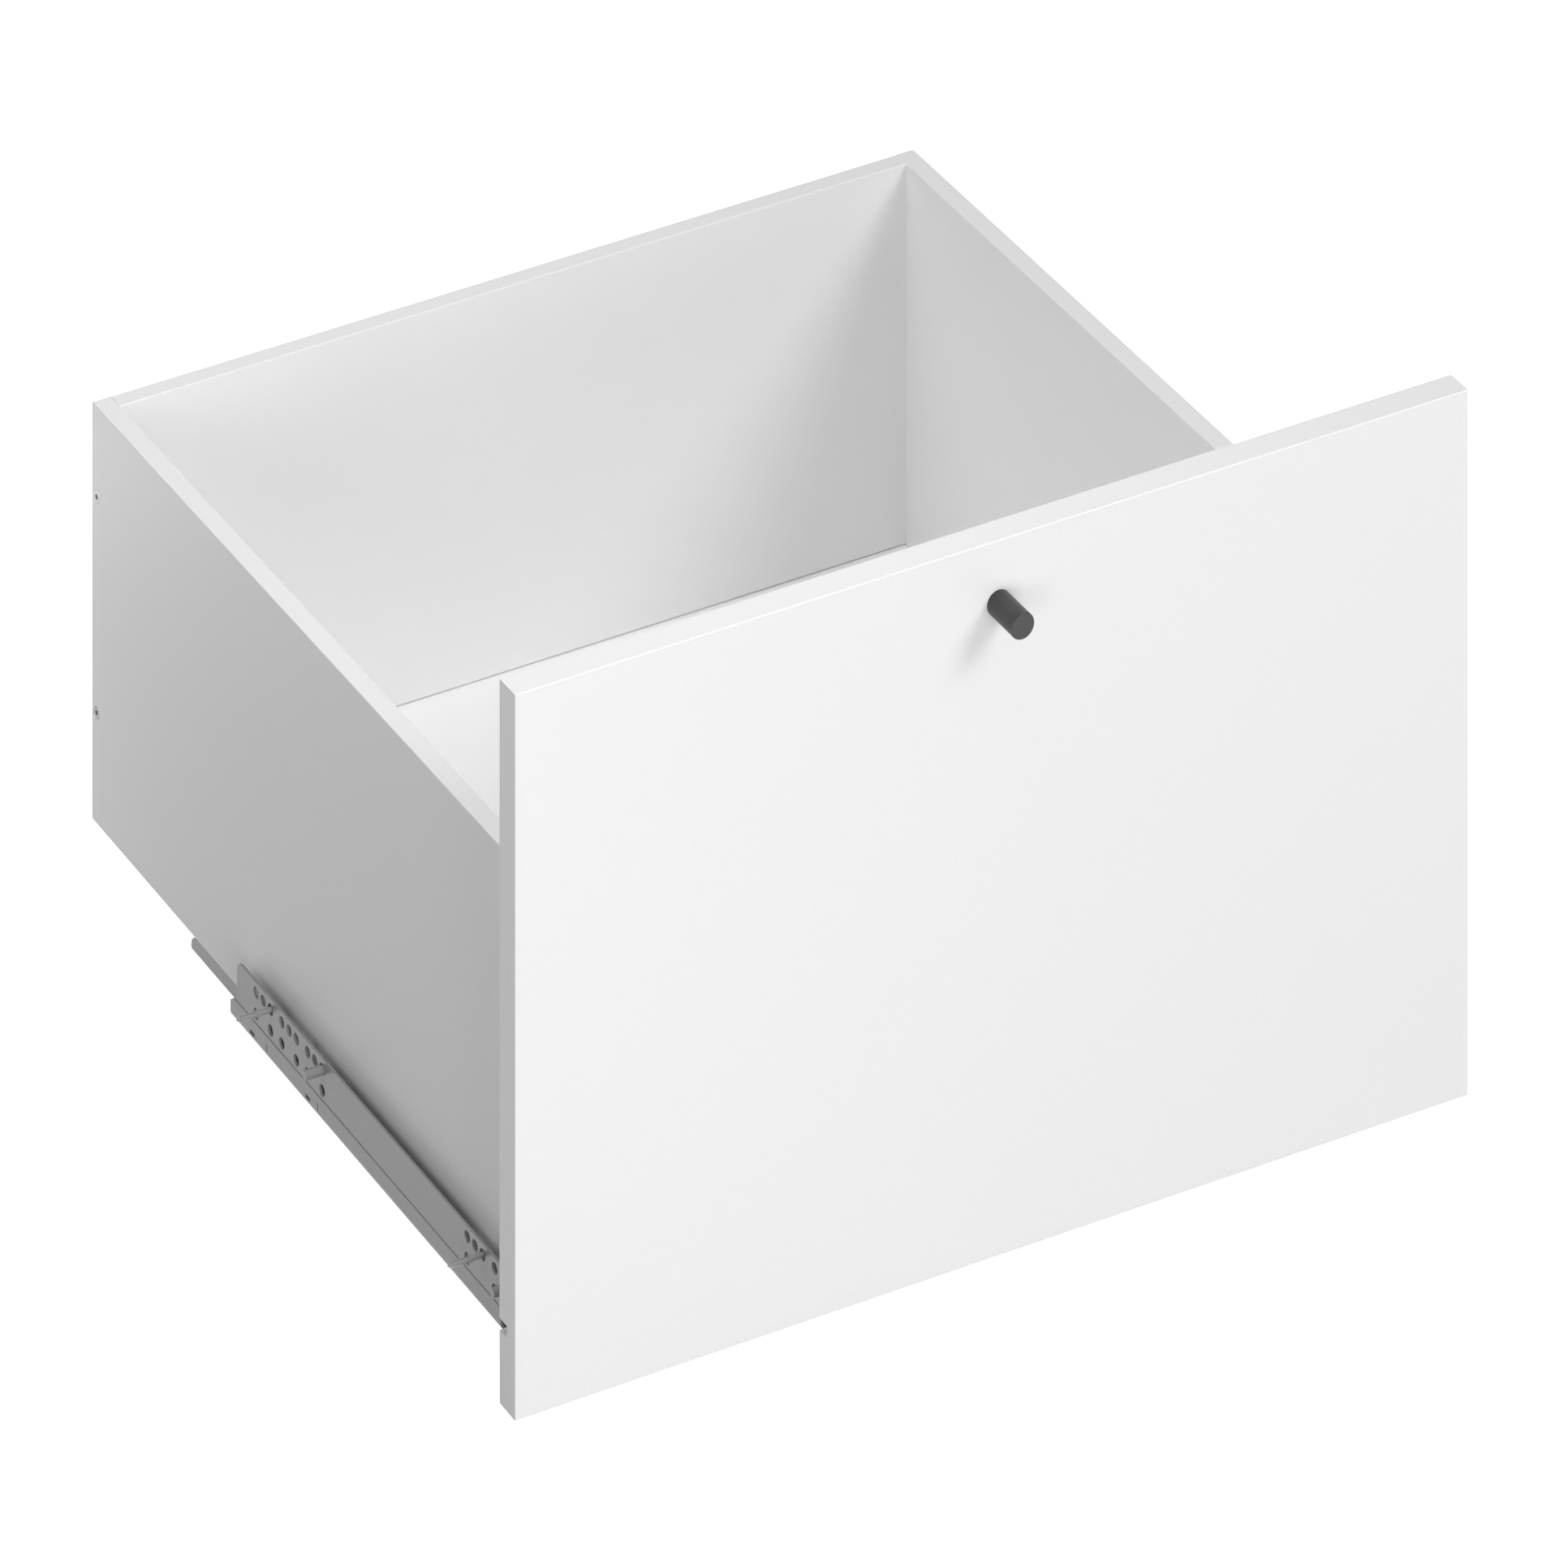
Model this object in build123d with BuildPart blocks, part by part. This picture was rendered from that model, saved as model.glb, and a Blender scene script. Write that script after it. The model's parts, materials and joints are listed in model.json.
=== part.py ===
"""A drawer on a pair of ball-bearing undermount slides with soft closing.

Units are millimetres. X runs across the drawer, Y from the cabinet's front edge
to the rear, Z up. The origin lies on the back face of the drawer front, in the
middle of the width, level with the bottom edge of the drawer sides.
"""

import os
from math import radians, sqrt, tan

from build123d import *

os.makedirs("parts", exist_ok=True)

# Cabinet that the slides fit
cabinet_width = 600.0
cabinet_side = 18.0
hole_pitch = 32.0
first_hole = 37.0

# Drawer front and box
front_width = 597.0
front_height = 396.0
front_thickness = 18.0
front_drop = 27.5
front_edge_round = 0.6
inner_width_deduction = 42.0
side_thickness = 12.0
side_length = 555.0
side_height = 245.0
back_thickness = 12.0
back_bottom_gap = 0.6
panel_edge_round = 0.5
bottom_thickness = 3.0
bottom_recess = 12.8
groove_depth = 5.0
front_groove_depth = 8.3
front_groove_height = 6.6
groove_clearance = 0.3
groove_end_clearance = 0.5

# Knob
knob_diameter = 14.8
knob_length = 26.1
knob_below_top = 34.7
knob_bevel = 0.6
knob_scoop_depth = 1.1
knob_scoop_radius = 16.0
knob_scoop_from_front = 12.0
knob_screw_diameter = 4.0
knob_screw_depth = 12.0
knob_screw_head_diameter = 8.0
knob_screw_head_height = 2.4

# Screws that hold the back between the sides
back_screw_low = 65.0
back_screw_spacing = 127.0
back_screw_diameter = 5.0
back_screw_length = 50.0
back_screw_head_diameter = 7.4
back_screw_socket = 3.0
back_screw_socket_depth = 1.4

# Screws that hold the bottom under the back
bottom_screw_count = 3
bottom_screw_spacing = 170.0
bottom_screw_diameter = 3.5
bottom_screw_length = 26.0
bottom_screw_head_diameter = 7.0

# Cam fittings and dowels between the front and the sides
cam_heights = (48.0, 208.0)
cam_setback = 24.0
cam_diameter = 12.0
cam_depth = 8.5
cam_bolt_diameter = 5.0
cam_bolt_head_diameter = 6.0
cam_bolt_head_length = 3.0
cam_bolt_in_front = 11.0
cam_slot_depth = 1.2
cam_slot_width = 1.6
cam_slot_length = 8.0
dowel_heights = (80.0, 176.0)
dowel_diameter = 6.0
dowel_in_front = 10.0
dowel_in_side = 20.0
hole_clearance = 0.2
countersink_angle = 90.0

# Cabinet bracket of each slide
sheet = 1.5
bracket_front = 2.0
bracket_rear = 357.5
channel_front = 29.5
channel_notch = 8.0
flange_rear = 349.0
flange_top = 26.5
flange_corner_round = 5.0
flange_step_top = 6.0
rail_bottom = -10.4
rail_bend_radius = 4.3
bead_height = 3.3
bead_depth = 0.4
upper_hole_height = 20.8
hole_row_spacing = 12.0
mounting_hole_diameter = 6.5
hole_group_step = 9.0
holes_per_group = 3
front_groups = 2
rear_groups = 3
rear_group_offset = 256.0
lower_front_holes = (69.0, 37.0)
lower_rear_holes = (325.0, 307.0, 293.0, 275.0, 261.0, 243.0)
slot_length = 6.0
slot_height = 2.2
slot_level = -4.9
slot_positions = (261.0, 330.0)
score_positions = (248.5, 311.5)
score_width = 1.0
score_depth = 0.25
score_low = -6.1
score_high = -1.6
dart_count = 6
dart_first = 71.5
dart_pitch = 50.0
dart_radius = 3.0
dart_depth = 0.4

# Pegs riveted into the flange
peg_diameter = 5.5
peg_length = 11.2
peg_drop = 0.4
peg_bevel = 0.3
peg_neck = 0.2
peg_recess_depth = 1.0

# Screws that hold the bracket to the cabinet
mounting_screw_positions = (51.0, 307.0)
screw_shank_diameter = 3.1
screw_shank_length = 7.2
screw_collar_diameter = 4.2
screw_collar_length = 1.2
screw_tip_length = 13.5
screw_point_length = 2.3
screw_flute_diameter = 1.4
screw_head_diameter = 7.2
screw_head_height = 0.9
screw_head_bevel = 0.3
screw_socket = 1.6
screw_socket_depth = 0.6

# Telescopic rails and ball bearings
ball_diameter = 3.6
race_clearance = 0.15
race_depth = 0.7
running_gap = 0.3
cage_web = 0.6
cage_strip = 0.9
cage_rim = 0.4
cage_pocket_clearance = 0.1
guide_width = 8.0
middle_leg = 2.6
middle_web = 1.0
middle_front = 4.0
middle_rear = 344.0
drawer_leg = 1.5
drawer_web = 1.2
drawer_rail_front = 2.0
drawer_rail_rear = 425.5
drawer_rail_end_round = 7.0
drawer_rail_toe_round = 1.5
lip_height = 10.0
lip_inset = 10.0
ball_count = 4
ball_pitch = 48.0
cage_end = 8.0
lower_cage_front = 92.0
upper_cage_front = 96.0

# Screws between drawer rail and drawer side
rail_screw_positions = (40.0, 200.0, 360.0)
rail_screw_height = 5.5
rail_screw_diameter = 3.5
rail_screw_length = 11.0
rail_screw_head_diameter = 7.0
rail_screw_head_height = 2.0

# Rear stop
stop_length = 6.0
stop_width = 6.0
stop_round = 1.0

# Soft-closing unit
unit_gap = 2.3
unit_width = 20.0
unit_wall = 1.6
unit_floor = 1.5
unit_front_gap = 10.0
unit_rear = 352.0
unit_top = 5.0
catch_travel = 45.0
catch_front = 205.0
catch_length = 50.0
catch_top = 1.6
catch_post_height = 3.4
catch_post_length = 5.0
catch_slot_width = 5.0
pin_diameter = 4.0
pin_setback = 23.0
pin_gap = 1.0
pin_end = 2.2
arm_thickness = 1.5
arm_width = 12.0
arm_clearance = 1.5
latch_pivot_setback = 6.0
latch_pivot_drop = 3.6
latch_pin_diameter = 2.5
latch_side_clearance = 0.3
pivot_clearance = 0.1
damper_diameter = 7.6
damper_wall = 0.9
damper_front_gap = 7.0
damper_height = -3.0
damper_inset = 4.5
rod_diameter = 2.5
rod_in_catch = 15.0
rod_clearance = 0.1
piston_length = 4.0
piston_clearance = 0.15
saddle_width = 6.0
saddle_inset = 8.0
spring_diameter = 5.2
spring_wire = 1.0
spring_inset = 4.4

# Worked-out places
cabinet_half = cabinet_width / 2 - cabinet_side
inner_half = cabinet_half - inner_width_deduction / 2
box_half = inner_half + side_thickness
front_bottom = -front_drop
front_top = front_bottom + front_height
back_front = side_length - back_thickness
bottom_top = bottom_recess + bottom_thickness
back_bottom = bottom_top + back_bottom_gap
knob_height = front_top - knob_below_top
cam_bolt_end = cam_setback + cam_bolt_head_length / 2

rail_inside = rail_bottom + sheet
side_gap = cabinet_half - box_half
race_radius = ball_diameter / 2 + race_clearance
race_gap = 2 * (race_radius - race_depth)
web_gap = cage_web + 2 * running_gap
drawer_outer = side_gap
drawer_inner = drawer_outer + 2 * drawer_leg + 4 * race_gap + 2 * middle_leg + guide_width
middle_outer = drawer_outer + drawer_leg + race_gap
middle_inner = drawer_inner - drawer_leg - race_gap
guide_outer = middle_outer + middle_leg + race_gap
guide_inner = guide_outer + guide_width
upper_rows = (middle_outer - race_gap / 2, middle_inner + race_gap / 2)
lower_rows = (guide_outer - race_gap / 2, guide_inner + race_gap / 2)
middle_top = -drawer_web - web_gap
guide_top = middle_top - middle_web - web_gap
leg_bottom = rail_inside + running_gap
cage_pocket = ball_diameter + 2 * cage_pocket_clearance
ball_height = leg_bottom + cage_rim + cage_pocket / 2
unit_outer = drawer_inner + unit_gap
unit_inner = unit_outer + unit_width
lane_low = unit_outer + unit_wall + running_gap
lane_high = unit_inner - unit_wall - running_gap
lane_middle = (lane_low + lane_high) / 2
unit_floor_top = rail_inside + unit_floor
catch_bottom = unit_floor_top + running_gap
catch_rear = catch_front + catch_length
unit_front = catch_front - catch_travel - unit_front_gap
pin_place = catch_front + pin_setback
damper_lane = lane_low + damper_inset
spring_lane = lane_high - spring_inset
damper_front = catch_rear + damper_front_gap
unit_inside_rear = unit_rear - unit_wall
latch_pivot = catch_front + latch_pivot_setback
latch_pivot_height = catch_top - latch_pivot_drop
cage_length = (ball_count - 1) * ball_pitch + 2 * cage_end


def across(u):
    """X of a point u inwards from the cabinet's left inner face."""
    return u - cabinet_half


def section(rear):
    """Plane across the slide; a positive extrusion from it runs to the front."""
    return Plane.XZ.offset(-rear)


def elevation(x):
    """Plane seen from the side, with Y to the right; it extrudes towards +X."""
    return Plane.YZ.offset(x)


def block(low, high, mode=Mode.ADD):
    """A box in the open part, given by its lowest and highest corners."""
    size = [b - a for a, b in zip(low, high)]
    with Locations(tuple((a + b) / 2 for a, b in zip(low, high))):
        Box(*size, mode=mode)


def rod(start, end, diameter, mode=Mode.ADD):
    """A round bar in the open part between two points."""
    path = Vector(*end) - Vector(*start)
    with BuildSketch(Plane(origin=start, z_dir=path)) as end_face:
        Circle(diameter / 2)
    extrude(end_face.sketch, amount=path.length, mode=mode)


def cross_section(outer, inner, low, high):
    """A rectangle across the slide, by distance from the cabinet and by height."""
    with Locations((across((outer + inner) / 2), (low + high) / 2)):
        Rectangle(inner - outer, high - low)


def races(rows):
    """Cut the ball grooves of these rows into the open sketch."""
    with Locations([(across(u), ball_height) for u in rows]):
        Circle(race_radius, mode=Mode.SUBTRACT)


def save(piece, name):
    piece.label = name
    export_step(piece, f"parts/{name}.step")


def save_pair(piece, name):
    """Write a left piece and its mirror image on the right."""
    save(piece, f"{name}_left")
    with BuildPart() as twin:
        mirror(piece, about=Plane.YZ)
    save(twin.part, f"{name}_right")


# Drawer front
with BuildPart() as drawer_front:
    with BuildSketch(section(0)):
        with Locations((0, (front_bottom + front_top) / 2)):
            Rectangle(front_width, front_height)
    extrude(amount=front_thickness)
    fillet(drawer_front.faces().sort_by(Axis.Y)[0].edges(), front_edge_round)
    with BuildSketch(elevation(-front_width / 2)):
        with Locations((-front_groove_depth / 2,
                        bottom_recess - groove_clearance + front_groove_height / 2)):
            Rectangle(front_groove_depth, front_groove_height)
    extrude(amount=front_width, mode=Mode.SUBTRACT)
    rod((0, 0, knob_height), (0, -front_thickness, knob_height),
        knob_screw_diameter + hole_clearance, Mode.SUBTRACT)
    for hand in (-1, 1):
        x = hand * (box_half - side_thickness / 2)
        for z in cam_heights:
            rod((x, 0, z), (x, -cam_bolt_in_front, z),
                cam_bolt_diameter + hole_clearance, Mode.SUBTRACT)
        for z in dowel_heights:
            rod((x, 0, z), (x, -dowel_in_front - hole_clearance, z),
                dowel_diameter + hole_clearance, Mode.SUBTRACT)
save(drawer_front.part, "drawer_front")

# Drawer sides, grooved for the bottom and bored for the fittings
side_middle = -(box_half - side_thickness / 2)
back_screw_place = back_front + back_thickness / 2
back_screw_heights = (back_screw_low, back_screw_low + back_screw_spacing)
with BuildPart() as drawer_side:
    with BuildSketch(elevation(-box_half)):
        with Locations((side_length / 2, side_height / 2)):
            Rectangle(side_length, side_height)
    extrude(amount=side_thickness)
    fillet(drawer_side.faces().sort_by(Axis.Z)[-1].edges().filter_by(Axis.Y), panel_edge_round)
    with BuildSketch(elevation(-inner_half - groove_depth)):
        with Locations((side_length / 2, bottom_recess + bottom_thickness / 2)):
            Rectangle(side_length, bottom_thickness + 2 * groove_clearance)
    extrude(amount=groove_depth, mode=Mode.SUBTRACT)
    for z in back_screw_heights:
        with Locations(Location((-box_half, back_screw_place, z), (0, -90, 0))):
            CounterSinkHole((back_screw_diameter + hole_clearance) / 2,
                            (back_screw_head_diameter + hole_clearance) / 2,
                            depth=side_thickness, counter_sink_angle=countersink_angle)
    for z in cam_heights:
        rod((-inner_half, cam_setback, z), (-inner_half - cam_depth, cam_setback, z),
            cam_diameter + hole_clearance, Mode.SUBTRACT)
        rod((side_middle, 0, z), (side_middle, cam_bolt_end + hole_clearance, z),
            cam_bolt_head_diameter + hole_clearance, Mode.SUBTRACT)
    for z in dowel_heights:
        rod((side_middle, 0, z), (side_middle, dowel_in_side + hole_clearance, z),
            dowel_diameter + hole_clearance, Mode.SUBTRACT)
    for y in rail_screw_positions:
        rod((-inner_half, y, rail_screw_height),
            (-inner_half - rail_screw_length + sheet, y, rail_screw_height),
            rail_screw_diameter + hole_clearance, Mode.SUBTRACT)
save_pair(drawer_side.part, "drawer_side")

# Drawer back, standing between the sides over the bottom
back_screw_reach = back_screw_length - side_thickness
bottom_screw_places = [(i - (bottom_screw_count - 1) / 2) * bottom_screw_spacing
                       for i in range(bottom_screw_count)]
bottom_screw_tip = bottom_recess + bottom_screw_length
with BuildPart() as drawer_back:
    with BuildSketch(section(side_length)):
        with Locations((0, (back_bottom + side_height) / 2)):
            Rectangle(2 * inner_half, side_height - back_bottom)
    extrude(amount=back_thickness)
    fillet(drawer_back.faces().sort_by(Axis.Z)[-1].edges().filter_by(Axis.X), panel_edge_round)
    for hand in (-1, 1):
        for z in back_screw_heights:
            rod((hand * inner_half, back_screw_place, z),
                (hand * (inner_half - back_screw_reach - hole_clearance), back_screw_place, z),
                back_screw_diameter + hole_clearance, Mode.SUBTRACT)
    for x in bottom_screw_places:
        rod((x, back_screw_place, back_bottom),
            (x, back_screw_place, bottom_screw_tip + hole_clearance),
            bottom_screw_diameter + hole_clearance, Mode.SUBTRACT)
save(drawer_back.part, "drawer_back")

# Drawer bottom, held in the grooves of the front and the sides
bottom_half = inner_half + groove_depth - groove_end_clearance
bottom_front = groove_end_clearance - front_groove_depth
with BuildPart() as drawer_bottom:
    block((-bottom_half, bottom_front, bottom_recess), (bottom_half, side_length, bottom_top))
    for x in bottom_screw_places:
        with Locations(Location((x, back_screw_place, bottom_recess), (180, 0, 0))):
            CounterSinkHole((bottom_screw_diameter + hole_clearance) / 2,
                            (bottom_screw_head_diameter + hole_clearance) / 2,
                            depth=bottom_thickness, counter_sink_angle=countersink_angle)
save(drawer_bottom.part, "drawer_bottom")

# Knob with a shallow finger scoop on its underside
knob_front = -front_thickness - knob_length
with BuildPart() as front_knob:
    rod((0, -front_thickness, knob_height), (0, knob_front, knob_height), knob_diameter)
    chamfer(front_knob.faces().sort_by(Axis.Y)[0].edges(), knob_bevel)
    scoop_centre = knob_height - knob_diameter / 2 - knob_scoop_radius + knob_scoop_depth
    scoop_place = knob_front + knob_scoop_from_front
    rod((-knob_diameter, scoop_place, scoop_centre), (knob_diameter, scoop_place, scoop_centre),
        2 * knob_scoop_radius, Mode.SUBTRACT)
    rod((0, -front_thickness, knob_height),
        (0, -front_thickness - knob_screw_depth - hole_clearance, knob_height),
        knob_screw_diameter + hole_clearance, Mode.SUBTRACT)
save(front_knob.part, "front_knob")

# Knob screw, from the inside of the front
with BuildPart() as knob_screw:
    rod((0, 0, knob_height), (0, -front_thickness - knob_screw_depth, knob_height),
        knob_screw_diameter)
    rod((0, 0, knob_height), (0, knob_screw_head_height, knob_height), knob_screw_head_diameter)
    chamfer(knob_screw.faces().sort_by(Axis.Y)[-1].edges(), knob_screw_head_height / 2)
save(knob_screw.part, "knob_screw")


def countersunk_screw(head, direction, diameter, length, head_diameter):
    """A countersunk screw in the open part, flush at head and running along direction."""
    along = Vector(*direction)
    start = Vector(*head)
    head_height = (head_diameter - diameter) / 2 / tan(radians(countersink_angle / 2))
    with BuildSketch(Plane(origin=start, z_dir=along)) as top:
        Circle(head_diameter / 2)
    with BuildSketch(Plane(origin=start + along * head_height, z_dir=along)) as neck:
        Circle(diameter / 2)
    loft([top.sketch.face(), neck.sketch.face()])
    rod(tuple(start + along * head_height), tuple(start + along * length), diameter)


# Screws through the sides into the back
with BuildPart() as back_screws:
    for hand in (-1, 1):
        for z in back_screw_heights:
            head = (hand * box_half, back_screw_place, z)
            countersunk_screw(head, (-hand, 0, 0), back_screw_diameter, back_screw_length,
                              back_screw_head_diameter)
            with BuildSketch(Plane(origin=head, z_dir=(-hand, 0, 0))):
                RegularPolygon(back_screw_socket / 2, 6, major_radius=False)
            extrude(amount=back_screw_socket_depth, mode=Mode.SUBTRACT)
save(back_screws.part, "back_screws")

# Screws through the bottom into the back
with BuildPart() as bottom_screws:
    for x in bottom_screw_places:
        countersunk_screw((x, back_screw_place, bottom_recess), (0, 0, 1),
                          bottom_screw_diameter, bottom_screw_length,
                          bottom_screw_head_diameter)
save(bottom_screws.part, "bottom_screws")

# Cam bolts in the front, with their heads in the cams
with BuildPart() as cam_bolts:
    for hand in (-1, 1):
        x = -hand * side_middle
        for z in cam_heights:
            rod((x, -cam_bolt_in_front + hole_clearance, z), (x, cam_bolt_end, z),
                cam_bolt_diameter - 2 * hole_clearance)
            rod((x, -cam_bolt_in_front + hole_clearance, z), (x, 0, z), cam_bolt_diameter)
            rod((x, cam_bolt_end - cam_bolt_head_length, z), (x, cam_bolt_end, z),
                cam_bolt_head_diameter)
save(cam_bolts.part, "cam_bolts")

# Cams in the sides
with BuildPart() as cam_locks:
    for hand in (-1, 1):
        x = hand * inner_half
        depth = x + hand * (cam_depth - hole_clearance)
        for z in cam_heights:
            rod((x, cam_setback, z), (depth, cam_setback, z), cam_diameter)
            rod((-hand * side_middle, cam_setback - cam_diameter, z),
                (-hand * side_middle, cam_bolt_end + hole_clearance, z),
                cam_bolt_head_diameter + hole_clearance, Mode.SUBTRACT)
            block((min(x, x + hand * cam_slot_depth), cam_setback - cam_slot_width / 2,
                   z - cam_slot_length / 2),
                  (max(x, x + hand * cam_slot_depth), cam_setback + cam_slot_width / 2,
                   z + cam_slot_length / 2), Mode.SUBTRACT)
save(cam_locks.part, "cam_locks")

# Wooden dowels between the front and the sides
with BuildPart() as dowels:
    for hand in (-1, 1):
        x = -hand * side_middle
        for z in dowel_heights:
            rod((x, -dowel_in_front, z), (x, dowel_in_side, z), dowel_diameter)
save(dowels.part, "dowels")

# Holes of the cabinet bracket, in groups of three to each pitch
front_group_ends = [first_hole + i * hole_pitch for i in range(front_groups)]
rear_group_ends = [front_group_ends[-1] + rear_group_offset - i * hole_pitch
                   for i in range(rear_groups)]
upper_holes = [end - i * hole_group_step
               for end in front_group_ends + rear_group_ends for i in range(holes_per_group)]
group_length = (holes_per_group - 1) * hole_group_step
peg_positions = (min(front_group_ends) - group_length, min(rear_group_ends) - group_length)
lower_hole_height = upper_hole_height - hole_row_spacing
peg_height = upper_hole_height - peg_drop

# Distance of the darts' middle line from the bracket's outer and lower faces
dart_line = rail_bend_radius - (rail_bend_radius + dart_radius - dart_depth) / sqrt(2)

# Cabinet bracket: the flange against the cabinet and the floor under the rails
with BuildPart() as cabinet_bracket:
    with BuildSketch(elevation(across(0))) as flange:
        with BuildLine():
            Polyline((bracket_front, rail_bottom), (bracket_rear, rail_bottom), (bracket_rear, 0),
                     (flange_rear, flange_step_top), (flange_rear, flange_top),
                     (bracket_front, flange_top), close=True)
        make_face()
        fillet(flange.vertices().sort_by(Axis.Y)[-2:], flange_corner_round)
        with Locations([(y, upper_hole_height) for y in upper_holes if y not in peg_positions]):
            Circle(mounting_hole_diameter / 2, mode=Mode.SUBTRACT)
        with Locations([(y, lower_hole_height) for y in lower_front_holes + lower_rear_holes]):
            Circle(mounting_hole_diameter / 2, mode=Mode.SUBTRACT)
        with Locations([(y, slot_level) for y in slot_positions]):
            Rectangle(slot_length, slot_height, mode=Mode.SUBTRACT)
    extrude(amount=sheet)
    block((across(0), bracket_front, rail_bottom),
          (across(drawer_inner), bracket_rear, rail_inside))
    block((across(0), unit_front, rail_bottom), (across(unit_inner), bracket_rear, rail_inside))
    bends = cabinet_bracket.edges().filter_by(Axis.Y)
    fillet(bends.filter_by_position(Axis.X, across(0), across(0)).sort_by(Axis.Z)[0],
           rail_bend_radius)
    bends = cabinet_bracket.edges().filter_by(Axis.Y)
    fillet(bends.filter_by_position(Axis.X, across(sheet), across(sheet)).sort_by(Axis.Z)[0],
           rail_bend_radius - sheet)
    with BuildSketch(section(bracket_rear)):
        with Locations((across(0), bead_height)):
            Rectangle(2 * bead_depth, 2 * bead_depth, rotation=45)
    extrude(amount=bracket_rear - bracket_front, mode=Mode.SUBTRACT)
    block((across(0), bracket_front, rail_bottom), (across(channel_notch), channel_front, 0),
          Mode.SUBTRACT)
    for y in score_positions:
        block((across(0), y - score_width / 2, score_low),
              (across(score_depth), y + score_width / 2, score_high), Mode.SUBTRACT)
    for i in range(dart_count):
        y = dart_first + i * dart_pitch
        rod((across(dart_line - rail_bend_radius), y, rail_bottom + dart_line + rail_bend_radius),
            (across(dart_line + rail_bend_radius), y, rail_bottom + dart_line - rail_bend_radius),
            2 * dart_radius, Mode.SUBTRACT)
    for y in peg_positions:
        rod((across(0), y, upper_hole_height), (across(peg_recess_depth), y, upper_hole_height),
            mounting_hole_diameter, Mode.SUBTRACT)
        rod((across(sheet), y, peg_height), (across(0), y, peg_height), peg_diameter - 2 * peg_neck)
        rod((across(0), y, peg_height), (across(-peg_length), y, peg_height), peg_diameter)
    peg_ends = cabinet_bracket.faces().sort_by(Axis.X)[:len(peg_positions)]
    chamfer([edge for end in peg_ends for edge in end.edges()], peg_bevel)
save_pair(cabinet_bracket.part, "cabinet_bracket")

# Screws that hold the bracket to the cabinet
with BuildPart() as mounting_screws:
    for y in mounting_screw_positions:
        collar = -screw_shank_length
        tip = collar - screw_collar_length
        point = tip - screw_tip_length
        with BuildSketch(Plane(origin=(across(0), y, upper_hole_height), x_dir=(1, 0, 0),
                               z_dir=(0, -1, 0))):
            with BuildLine():
                Polyline((sheet + screw_head_height, 0),
                         (sheet + screw_head_height, screw_head_diameter / 2 - screw_head_bevel),
                         (sheet, screw_head_diameter / 2),
                         (sheet, screw_shank_diameter / 2), (collar, screw_shank_diameter / 2),
                         (collar, screw_collar_diameter / 2), (tip, screw_collar_diameter / 2),
                         (tip, screw_shank_diameter / 2),
                         (point + screw_point_length, screw_shank_diameter / 2), (point, 0),
                         close=True)
            make_face()
        revolve(axis=Axis((across(0), y, upper_hole_height), (1, 0, 0)))
        with BuildSketch(Plane(origin=(across(sheet + screw_head_height), y, upper_hole_height),
                               z_dir=(-1, 0, 0))):
            RegularPolygon(screw_socket / 2, 6, major_radius=False)
        extrude(amount=screw_socket_depth, mode=Mode.SUBTRACT)
        for hand in (-1, 1):
            flute = upper_hole_height + hand * screw_shank_diameter / 2
            rod((across(tip), y, flute), (across(point), y, flute),
                screw_flute_diameter, Mode.SUBTRACT)
save_pair(mounting_screws.part, "mounting_screws")

# Guide rail, welded to the bracket's floor
with BuildPart() as guide_rail:
    with BuildSketch(section(middle_rear)):
        cross_section(guide_outer, guide_inner, rail_inside, guide_top)
        races(lower_rows)
    extrude(amount=middle_rear - middle_front)
save_pair(guide_rail.part, "guide_rail")

# Middle rail, running on the guide rail and carrying the drawer rail
with BuildPart() as middle_rail:
    with BuildSketch(section(middle_rear)):
        cross_section(middle_outer, middle_inner, middle_top - middle_web, middle_top)
        cross_section(middle_outer, middle_outer + middle_leg, leg_bottom, middle_top)
        cross_section(middle_inner - middle_leg, middle_inner, leg_bottom, middle_top)
        races(upper_rows + lower_rows)
    extrude(amount=middle_rear - middle_front)
save_pair(middle_rail.part, "middle_rail")

# Drawer rail, under the side's edge, with a lip on the side's inner face
with BuildPart() as drawer_rail:
    with BuildSketch(section(drawer_rail_rear)):
        cross_section(drawer_outer, drawer_inner, -drawer_web, 0)
        cross_section(drawer_outer, drawer_outer + drawer_leg, leg_bottom, 0)
        cross_section(drawer_inner - drawer_leg, drawer_inner, leg_bottom, 0)
        races(upper_rows)
    extrude(amount=drawer_rail_rear - drawer_rail_front)
    rear_edges = drawer_rail.faces().sort_by(Axis.Y)[-1].edges().filter_by(Axis.X)
    fillet(rear_edges.group_by(Axis.Z)[0], drawer_rail_toe_round)
    with BuildSketch(elevation(across(drawer_outer))):
        with Locations((drawer_rail_rear, 0)):
            Rectangle(2 * drawer_rail_end_round, 2 * drawer_rail_end_round)
        with Locations((drawer_rail_rear - drawer_rail_end_round, -drawer_rail_end_round)):
            Circle(drawer_rail_end_round, mode=Mode.SUBTRACT)
    extrude(amount=drawer_inner - drawer_outer, mode=Mode.SUBTRACT)
    with BuildSketch(elevation(-inner_half)):
        with Locations(((drawer_rail_front + drawer_rail_rear) / 2, lip_height / 2)):
            Rectangle(drawer_rail_rear - drawer_rail_front - 2 * lip_inset, lip_height)
        with Locations([(y, rail_screw_height) for y in rail_screw_positions]):
            Circle((rail_screw_diameter + hole_clearance) / 2, mode=Mode.SUBTRACT)
    extrude(amount=sheet)
save_pair(drawer_rail.part, "drawer_rail")

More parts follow.
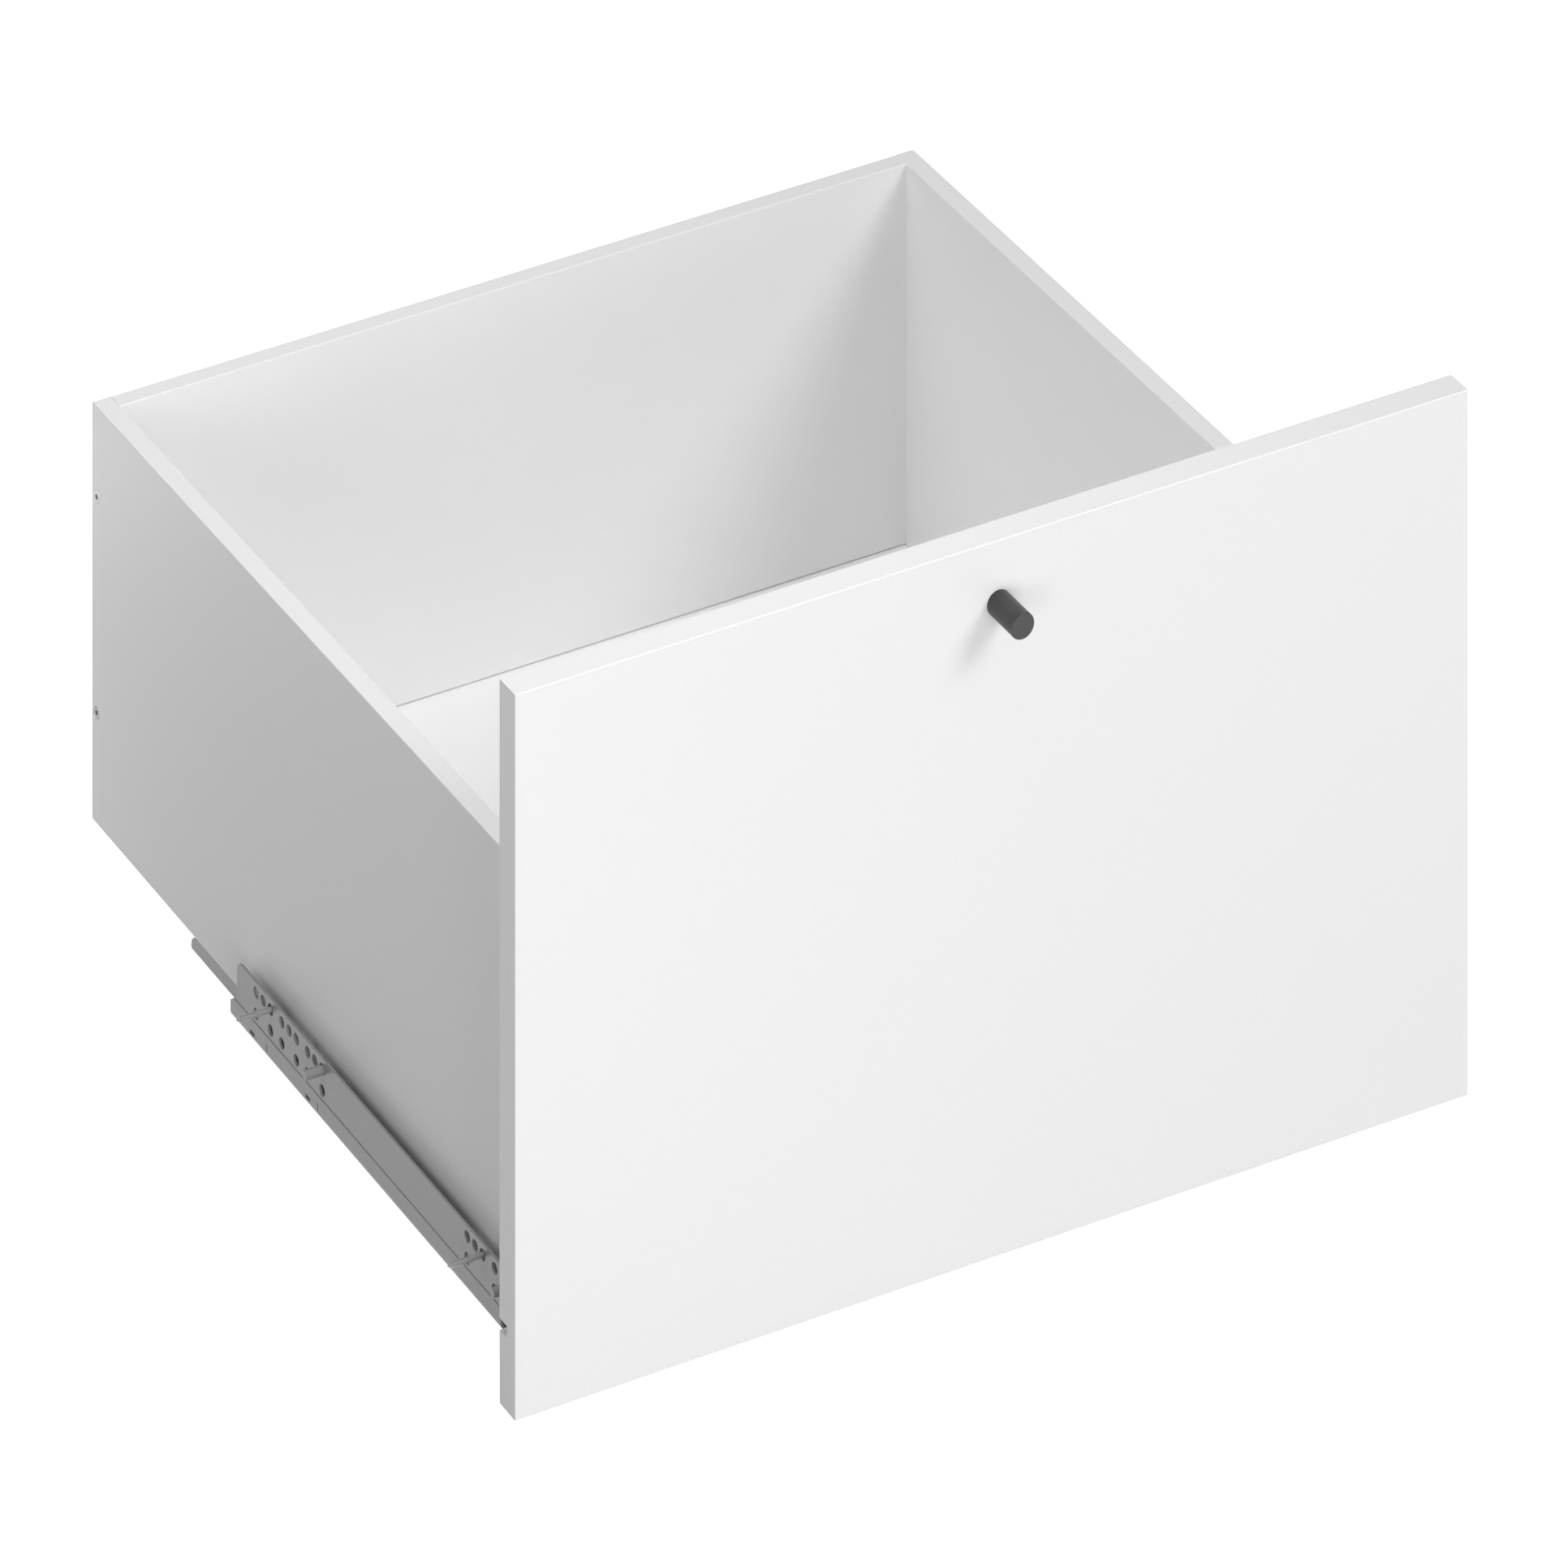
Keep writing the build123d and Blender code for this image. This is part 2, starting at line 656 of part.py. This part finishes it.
# Screws through the lip into the drawer side
with BuildPart() as rail_screws:
    for y in rail_screw_positions:
        seat = -inner_half + sheet
        rod((seat, y, rail_screw_height), (seat - rail_screw_length, y, rail_screw_height),
            rail_screw_diameter)
        rod((seat, y, rail_screw_height), (seat + rail_screw_head_height, y, rail_screw_height),
            rail_screw_head_diameter)
    chamfer(rail_screws.faces().group_by(Axis.X)[-1].edges(), rail_screw_head_height / 2)
save_pair(rail_screws.part, "rail_screws")


def ball_places(front):
    """Depths of the balls in a cage that starts here."""
    return [front + cage_end + i * ball_pitch for i in range(ball_count)]


def ball_cage(rows, top, front, name):
    """A cage of two punched strips joined by a web, and its balls."""
    strips = [(u - cage_strip / 2, u + cage_strip / 2) for u in rows]
    with BuildPart() as cage:
        with BuildSketch(section(front + cage_length)):
            cross_section(strips[0][0], strips[1][1], top - cage_web, top)
            for low, high in strips:
                cross_section(low, high, leg_bottom, top)
        extrude(amount=cage_length)
        for y in ball_places(front):
            rod((across(strips[0][0]), y, ball_height), (across(strips[1][1]), y, ball_height),
                cage_pocket, Mode.SUBTRACT)
    save_pair(cage.part, f"{name}_cage")
    with BuildPart() as balls:
        with Locations([(across(u), y, ball_height) for u in rows for y in ball_places(front)]):
            Sphere(ball_diameter / 2)
    save_pair(balls.part, f"{name}_balls")


ball_cage(lower_rows, middle_top - middle_web - running_gap, lower_cage_front, "lower")
ball_cage(upper_rows, -drawer_web - running_gap, upper_cage_front, "upper")

# Rubber stop behind the guide rail
stop_middle = (guide_outer + guide_inner) / 2
with BuildPart() as rear_stop:
    block((across(stop_middle - stop_width / 2), middle_rear + running_gap, rail_inside),
          (across(stop_middle + stop_width / 2), middle_rear + running_gap + stop_length,
           middle_top))
    fillet(rear_stop.faces().sort_by(Axis.Z)[-1].edges().filter_by(Axis.X), stop_round)
save_pair(rear_stop.part, "rear_stop")

# Housing of the soft-closing unit: an open trough on the bracket's floor
with BuildPart() as soft_close_housing:
    block((across(unit_outer), unit_front, rail_inside),
          (across(unit_inner), unit_rear, unit_top))
    block((across(unit_outer + unit_wall), unit_front, unit_floor_top),
          (across(unit_inner - unit_wall), unit_inside_rear, unit_top), Mode.SUBTRACT)
    saddle_outer = unit_outer + unit_wall
    saddle_inner = damper_lane + damper_diameter / 2
    for y in (damper_front + saddle_inset, unit_inside_rear - saddle_inset - saddle_width):
        block((across(saddle_outer), y, unit_floor_top),
              (across(saddle_inner), y + saddle_width, damper_height))
    rod((across(damper_lane), damper_front, damper_height),
        (across(damper_lane), unit_inside_rear, damper_height),
        damper_diameter + hole_clearance, Mode.SUBTRACT)
save_pair(soft_close_housing.part, "soft_close_housing")

# Damper cylinder with its bore
damper_bore = damper_diameter - 2 * damper_wall
with BuildPart() as damper_cylinder:
    rod((across(damper_lane), damper_front, damper_height),
        (across(damper_lane), unit_inside_rear, damper_height), damper_diameter)
    rod((across(damper_lane), damper_front + piston_length, damper_height),
        (across(damper_lane), unit_inside_rear - damper_wall, damper_height),
        damper_bore, Mode.SUBTRACT)
    rod((across(damper_lane), damper_front, damper_height),
        (across(damper_lane), damper_front + piston_length, damper_height),
        rod_diameter + 2 * rod_clearance, Mode.SUBTRACT)
save_pair(damper_cylinder.part, "damper_cylinder")

# Damper rod with its piston, pushed in by the closed drawer
piston_rear = unit_inside_rear - 2 * damper_wall
with BuildPart() as damper_rod:
    rod((across(damper_lane), catch_rear - rod_in_catch, damper_height),
        (across(damper_lane), piston_rear, damper_height), rod_diameter)
    rod((across(damper_lane), piston_rear - piston_length, damper_height),
        (across(damper_lane), piston_rear, damper_height),
        damper_bore - 2 * piston_clearance)
save_pair(damper_rod.part, "damper_rod")

# Closing spring, as the sleeve that its close-wound coil fills
with BuildPart() as closing_spring:
    for diameter, mode in ((spring_diameter, Mode.ADD),
                           (spring_diameter - 2 * spring_wire, Mode.SUBTRACT)):
        rod((across(spring_lane), catch_rear, damper_height),
            (across(spring_lane), unit_inside_rear, damper_height), diameter, mode)
save_pair(closing_spring.part, "closing_spring")

# Catch that the activator pin draws in, with a pocket for the latch
slot_half = catch_slot_width / 2
latch_rear = pin_place - pin_diameter / 2 - pin_gap
post_front = pin_place + pin_diameter / 2 + pin_gap
with BuildPart() as catch_slider:
    block((across(lane_low), catch_front, catch_bottom), (across(lane_high), catch_rear, catch_top))
    block((across(lane_middle - slot_half), post_front, catch_top),
          (across(lane_middle + slot_half), post_front + catch_post_length,
           catch_top + catch_post_height))
    block((across(lane_middle - slot_half), catch_front, catch_bottom + unit_wall),
          (across(lane_middle + slot_half), latch_rear + pin_gap / 2, catch_top), Mode.SUBTRACT)
    rod((across(lane_low), latch_pivot, latch_pivot_height),
        (across(lane_high), latch_pivot, latch_pivot_height),
        latch_pin_diameter + 2 * pivot_clearance, Mode.SUBTRACT)
    rod((across(damper_lane), catch_rear - rod_in_catch - hole_clearance, damper_height),
        (across(damper_lane), catch_rear, damper_height),
        rod_diameter + 2 * rod_clearance, Mode.SUBTRACT)
save_pair(catch_slider.part, "catch_slider")

# Latch that swings up in front of the pin
latch_half = slot_half - latch_side_clearance
latch_heel = latch_pivot - latch_pin_diameter
with BuildPart() as catch_latch:
    with BuildSketch(elevation(across(lane_middle - latch_half))) as outline:
        with BuildLine():
            Polyline((latch_heel, latch_pivot_height - latch_pin_diameter),
                     (latch_rear, catch_top - latch_pin_diameter),
                     (latch_rear, catch_top - running_gap),
                     (latch_rear - latch_pin_diameter, catch_top - running_gap),
                     (latch_pivot + latch_pin_diameter, latch_pivot_height + latch_pin_diameter),
                     (latch_heel, latch_pivot_height + latch_pin_diameter), close=True)
        make_face()
        with Locations((latch_pivot, latch_pivot_height)):
            Circle(latch_pin_diameter / 2 + pivot_clearance, mode=Mode.SUBTRACT)
    extrude(amount=2 * latch_half)
save_pair(catch_latch.part, "catch_latch")

# Pin that the latch swings on
with BuildPart() as latch_pin:
    rod((across(lane_low), latch_pivot, latch_pivot_height),
        (across(lane_high), latch_pivot, latch_pivot_height), latch_pin_diameter)
save_pair(latch_pin.part, "latch_pin")

# Activator: a bent arm on the drawer rail with a pin over the catch
arm_low = unit_top + arm_clearance
arm_high = arm_low + arm_thickness
with BuildPart() as activator:
    with BuildSketch(section(pin_place + arm_width / 2)):
        cross_section(drawer_inner - arm_width / 2, drawer_inner, 0, arm_thickness)
        cross_section(drawer_inner - arm_thickness, drawer_inner, 0, arm_high)
        cross_section(drawer_inner - arm_thickness, lane_middle + pin_diameter, arm_low, arm_high)
    extrude(amount=arm_width)
    rod((across(lane_middle), pin_place, pin_end), (across(lane_middle), pin_place, arm_high),
        pin_diameter)
save_pair(activator.part, "activator")
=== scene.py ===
"""Looks, light and camera for the drawer on its undermount slides."""

import json
import math

import bmesh
import bpy
from mathutils import Matrix, Vector


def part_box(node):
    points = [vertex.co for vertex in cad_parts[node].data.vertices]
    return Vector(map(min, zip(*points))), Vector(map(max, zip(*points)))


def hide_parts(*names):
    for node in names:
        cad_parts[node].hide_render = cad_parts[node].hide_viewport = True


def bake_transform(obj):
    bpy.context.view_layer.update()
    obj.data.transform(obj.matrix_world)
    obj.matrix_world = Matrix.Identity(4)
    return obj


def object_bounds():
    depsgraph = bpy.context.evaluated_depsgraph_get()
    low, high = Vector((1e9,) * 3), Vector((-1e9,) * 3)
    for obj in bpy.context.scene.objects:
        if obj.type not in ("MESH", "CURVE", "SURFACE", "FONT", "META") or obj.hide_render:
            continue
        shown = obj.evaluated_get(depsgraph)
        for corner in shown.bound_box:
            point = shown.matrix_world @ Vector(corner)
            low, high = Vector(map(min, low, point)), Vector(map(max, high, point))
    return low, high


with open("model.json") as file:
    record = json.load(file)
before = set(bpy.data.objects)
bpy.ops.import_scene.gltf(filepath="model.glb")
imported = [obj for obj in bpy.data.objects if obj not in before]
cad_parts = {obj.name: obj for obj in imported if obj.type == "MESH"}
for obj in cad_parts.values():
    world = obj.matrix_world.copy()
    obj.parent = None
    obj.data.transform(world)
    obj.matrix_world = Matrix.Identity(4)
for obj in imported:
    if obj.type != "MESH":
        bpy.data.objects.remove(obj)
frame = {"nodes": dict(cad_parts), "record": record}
cad_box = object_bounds()
scene = bpy.context.scene

# Camera, in metres and radians, with its sensor in millimetres. The view is a central projection
# with upright verticals, so its axes are not square to each other.
CAMERA_PLACE = Vector((-3.54169, -6.14369, 4.38817))
CAMERA_YAW = 0.507739
CAMERA_PITCH = 0.530940
CAMERA_SLANT = -0.160852
CAMERA_TILT = -0.004817
CAMERA_REACH = 60.0
FRAME_PIXELS = 1932
FOCAL_PIXELS = 18217.9
HALF_PIXEL = 0.5 / FRAME_PIXELS
SENSOR = 36.0

# Grain of a finish: the band of the noise that shades it, the noise's detail, and the bump's depth in metres
GRAIN_LOW = 0.3
GRAIN_HIGH = 0.7
GRAIN_DETAIL = 3.0
GRAIN_DEPTH = 0.0002

# Coil of a closing spring: its wire in metres, its turns, and how finely they are drawn
COIL_WIRE = 0.001
COIL_TURNS = 80
COIL_STEPS = 12
COIL_SIDES = 6

# Stage and surroundings: lengths in metres, and strengths of the white light from above and below
STAGE_REACH = 25.0
STAGE_COLOUR = (0.9, 0.9, 0.9, 1)
FLOOR_GAP = 0.0005
DOME_SEGMENTS = 32
DOME_RINGS = 16
WHITE = (1, 1, 1, 1)
LIGHT_ABOVE = 0.215
LIGHT_BELOW = 0.04
HORIZON_BLUR = 0.2


def make_camera():
    """A camera whose upright axis stays vertical, hung on an empty to carry the slant."""
    up = Vector((0, 0, 1))
    level = Vector((math.sin(CAMERA_YAW), math.cos(CAMERA_YAW), 0))
    across = Vector((math.cos(CAMERA_YAW), -math.sin(CAMERA_YAW), 0))
    forward = level - math.tan(CAMERA_PITCH) * up
    right = across - CAMERA_SLANT * forward + CAMERA_TILT * up
    forward.normalize()
    right.normalize()
    matrix = Matrix.Identity(4)
    for column, axis in enumerate((right, up, -forward, CAMERA_PLACE)):
        for row in range(3):
            matrix[row][column] = axis[row]
    data = bpy.data.cameras.new("camera")
    data.sensor_width = SENSOR
    data.lens = FOCAL_PIXELS / FRAME_PIXELS * SENSOR
    data.shift_x = -HALF_PIXEL
    data.shift_y = HALF_PIXEL
    data.clip_end = CAMERA_REACH
    camera = bpy.data.objects.new("camera", data)
    stand = bpy.data.objects.new("camera_stand", None)
    scene.collection.objects.link(camera)
    scene.collection.objects.link(stand)
    camera.parent = stand
    camera.matrix_parent_inverse = matrix
    scene.camera = camera


def new_material(name):
    """A node material, with its tree and its shader."""
    material = bpy.data.materials.new(name)
    material.use_nodes = True
    tree = material.node_tree
    return material, tree, tree.nodes["Principled BSDF"]


def surface(name, colour, roughness, metallic=0.0, specular=0.5, grain=900.0, grain_bump=0.04,
            shade=0.03, rough_range=0.06, stretch=(1.0, 1.0, 1.0)):
    """A finish with fine grain: slight shade and roughness changes and a shallow bump."""
    material, tree, shader = new_material(name)
    place = tree.nodes.new("ShaderNodeTexCoord")
    scale = tree.nodes.new("ShaderNodeMapping")
    scale.inputs["Scale"].default_value = stretch
    noise = tree.nodes.new("ShaderNodeTexNoise")
    noise.inputs["Scale"].default_value = grain
    noise.inputs["Detail"].default_value = GRAIN_DETAIL
    tone = tree.nodes.new("ShaderNodeValToRGB")
    dark, light = tone.color_ramp.elements
    dark.position = GRAIN_LOW
    dark.color = (*(c * (1 - shade) for c in colour), 1)
    light.position = GRAIN_HIGH
    light.color = (*(min(1.0, c * (1 + shade)) for c in colour), 1)
    rough = tree.nodes.new("ShaderNodeMapRange")
    rough.inputs["To Min"].default_value = roughness - rough_range / 2
    rough.inputs["To Max"].default_value = roughness + rough_range / 2
    bump = tree.nodes.new("ShaderNodeBump")
    bump.inputs["Strength"].default_value = grain_bump
    bump.inputs["Distance"].default_value = GRAIN_DEPTH
    link = tree.links.new
    link(place.outputs["Object"], scale.inputs["Vector"])
    link(scale.outputs["Vector"], noise.inputs["Vector"])
    link(noise.outputs["Fac"], tone.inputs["Fac"])
    link(noise.outputs["Fac"], rough.inputs["Value"])
    link(noise.outputs["Fac"], bump.inputs["Height"])
    link(tone.outputs["Color"], shader.inputs["Base Color"])
    link(rough.outputs["Result"], shader.inputs["Roughness"])
    link(bump.outputs["Normal"], shader.inputs["Normal"])
    shader.inputs["Metallic"].default_value = metallic
    shader.inputs["Specular IOR Level"].default_value = specular
    return material


# Finishes by the record's material slots
FINISHES = {
    "white_board": surface("white_foil", colour=(0.92, 0.92, 0.92), roughness=0.45, shade=0.008, grain=700.0),
    "grey_steel": surface("grey_coat", colour=(0.35, 0.35, 0.35), roughness=0.28, specular=0.35, shade=0.02,
                          grain=1500.0, grain_bump=0.02),
    "bright_steel": surface("zinc_plate", colour=(0.55, 0.55, 0.56), roughness=0.3, metallic=1.0),
    "ball_steel": surface("polished_steel", colour=(0.7, 0.7, 0.71), roughness=0.12, metallic=1.0),
    "dark_screw": surface("dull_zinc", colour=(0.4, 0.4, 0.4), roughness=0.2, specular=0.7),
    "black_knob": surface("black_coat", colour=(0.03, 0.03, 0.03), roughness=0.4, shade=0.05, grain=1600.0),
    "cage_plastic": surface("natural_plastic", colour=(0.75, 0.75, 0.72), roughness=0.45),
    "unit_plastic": surface("grey_plastic", colour=(0.2, 0.2, 0.21), roughness=0.5),
    "catch_plastic": surface("light_plastic", colour=(0.65, 0.65, 0.64), roughness=0.45),
    "stop_rubber": surface("rubber", colour=(0.03, 0.03, 0.03), roughness=0.75),
    "beech": surface("beech", colour=(0.6, 0.4, 0.22), roughness=0.6, shade=0.12, stretch=(1.0, 0.08, 1.0)),
    "cam_zinc": surface("cast_zinc", colour=(0.5, 0.5, 0.5), roughness=0.45, metallic=1.0),
}


def dress_nodes():
    """Give each CAD node the finish of its slot in the record."""
    for subpart in frame["record"]["subparts"]:
        materials = frame["nodes"][subpart["node"]].data.materials
        materials.clear()
        materials.append(FINISHES[subpart["material_slot"]])


def coil_mesh(name, low, high):
    """A close-wound coil along Y that fills the box from low to high."""
    centre = (low + high) / 2
    radius = (high.x - low.x - COIL_WIRE) / 2
    count = COIL_TURNS * COIL_STEPS
    start = low.y + COIL_WIRE / 2
    length = high.y - low.y - COIL_WIRE
    along = Vector((0, 1, 0))
    points = []
    for step in range(count + 1):
        turn = 2 * math.pi * step / COIL_STEPS
        outward = Vector((math.cos(turn), 0, math.sin(turn)))
        middle = Vector((centre.x, start + length * step / count, centre.z)) + radius * outward
        for side in range(COIL_SIDES):
            angle = 2 * math.pi * side / COIL_SIDES
            offset = math.cos(angle) * outward + math.sin(angle) * along
            points.append(middle + COIL_WIRE / 2 * offset)
    first_ring = range(COIL_SIDES)
    last_ring = range(count * COIL_SIDES, (count + 1) * COIL_SIDES)
    faces = [tuple(reversed(first_ring)), tuple(last_ring)]
    for step in range(count):
        near = step * COIL_SIDES
        far = near + COIL_SIDES
        for side in range(COIL_SIDES):
            after = (side + 1) % COIL_SIDES
            faces.append((near + side, near + after, far + after, far + side))
    mesh = bpy.data.meshes.new(name)
    mesh.from_pydata(points, [], faces)
    mesh.polygons.foreach_set("use_smooth", [True] * len(faces))
    return mesh


def make_springs():
    """The closing springs as wound wire, held at the unit's rear wall, each filling its CAD node's box in
    place of that node.
    """
    for hand in ("left", "right"):
        node = f"closing_spring_{hand}"
        low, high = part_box(node)
        mesh = coil_mesh(f"closing_coil_{hand}", low, high)
        mesh.materials.append(FINISHES["bright_steel"])
        coil = bpy.data.objects.new(f"closing_coil_{hand}", mesh)
        scene.collection.objects.link(coil)
        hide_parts(node)
        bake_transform(coil)


def stage_piece(name, mesh):
    """A piece of the stage that glows white, and neither lights the part's matt faces nor shades them."""
    piece = bpy.data.objects.new(name, mesh)
    scene.collection.objects.link(piece)
    material, _, shader = new_material(name + "_white")
    shader.inputs["Base Color"].default_value = STAGE_COLOUR
    shader.inputs["Emission Color"].default_value = WHITE
    shader.inputs["Emission Strength"].default_value = 1.0
    mesh.materials.append(material)
    piece.visible_diffuse = False
    piece.visible_shadow = False
    return piece


def make_stage():
    """A plain white floor, and a white dome far round it that only the camera sees."""
    level = cad_box[0].z - FLOOR_GAP
    signs = ((-1, -1), (1, -1), (1, 1), (-1, 1))
    floor = bpy.data.meshes.new("floor")
    floor.from_pydata([(STAGE_REACH * x, STAGE_REACH * y, level) for x, y in signs], [], [(0, 1, 2, 3)])
    stage_piece("floor", floor)
    dome = bpy.data.meshes.new("backdrop")
    ball = bmesh.new()
    bmesh.ops.create_uvsphere(ball, u_segments=DOME_SEGMENTS, v_segments=DOME_RINGS, radius=STAGE_REACH)
    ball.to_mesh(dome)
    ball.free()
    stage_piece("backdrop", dome).visible_glossy = False


def make_surroundings():
    """White surroundings, brighter above the horizon than below it."""
    world = bpy.data.worlds.new("surroundings")
    world.use_nodes = True
    tree = world.node_tree
    background = tree.nodes["Background"]
    background.inputs["Color"].default_value = WHITE
    place = tree.nodes.new("ShaderNodeTexCoord")
    split = tree.nodes.new("ShaderNodeSeparateXYZ")
    strength = tree.nodes.new("ShaderNodeMapRange")
    strength.inputs["From Min"].default_value = -HORIZON_BLUR
    strength.inputs["From Max"].default_value = HORIZON_BLUR
    strength.inputs["To Min"].default_value = LIGHT_BELOW
    strength.inputs["To Max"].default_value = LIGHT_ABOVE
    tree.links.new(place.outputs["Generated"], split.inputs["Vector"])
    tree.links.new(split.outputs["Z"], strength.inputs["Value"])
    tree.links.new(strength.outputs["Result"], background.inputs["Strength"])
    scene.world = world


def area_light(name, place, aim, size, power):
    """A round light that the camera doesn't see, with its size in metres and its power in watts."""
    data = bpy.data.lights.new(name, "AREA")
    data.shape = "DISK"
    data.size = size
    data.energy = power
    light = bpy.data.objects.new(name, data)
    light.visible_camera = False
    light.location = place
    light.rotation_mode = "QUATERNION"
    light.rotation_quaternion = (Vector(aim) - Vector(place)).to_track_quat("-Z", "Y")
    scene.collection.objects.link(light)


def make_lights():
    """Lights for the front, for the inside from above, for the left side and for the sides turned away."""
    area_light("key", place=(2.2, -3.0, 3.2), aim=(0, 0.1, 0.2), size=2.0, power=80)
    area_light("fill", place=(-0.9, -7.8, 0.6), aim=(0, 0, 0.15), size=4.8, power=305)
    area_light("fore", place=(-1.03, -1.12, 0.47), aim=(-0.29, 0, 0.15), size=0.48, power=3.0)
    area_light("over", place=(-0.22, 0.18, 1.4), aim=(0, 0.3, 0.1), size=0.8, power=3.7)
    area_light("middle", place=(-0.2, 0.25, 1.2), aim=(0, 0.35, 0.1), size=0.5, power=1.85)
    area_light("left", place=(-3.5, 0.6, 2.2), aim=(0, 0.3, 0.15), size=2.0, power=15)
    area_light("rear_left", place=(-0.55, 1.15, -0.1), aim=(-0.27, 0.5, 0.1), size=0.25, power=0.4)
    area_light("near_left", place=(-0.48, 0.9, -0.02), aim=(-0.27, 0.5, 0.1), size=0.2, power=0.33)
    area_light("back", place=(0.5, 2.8, 0.15), aim=(0, 0.5, 0.12), size=1.2, power=28)
    area_light("right", place=(2.6, 0.5, 0.12), aim=(0.2, 0.3, 0.12), size=1.2, power=13)


dress_nodes()
make_camera()
make_springs()
make_stage()
make_surroundings()
make_lights()
scene.view_settings.view_transform = "Standard"
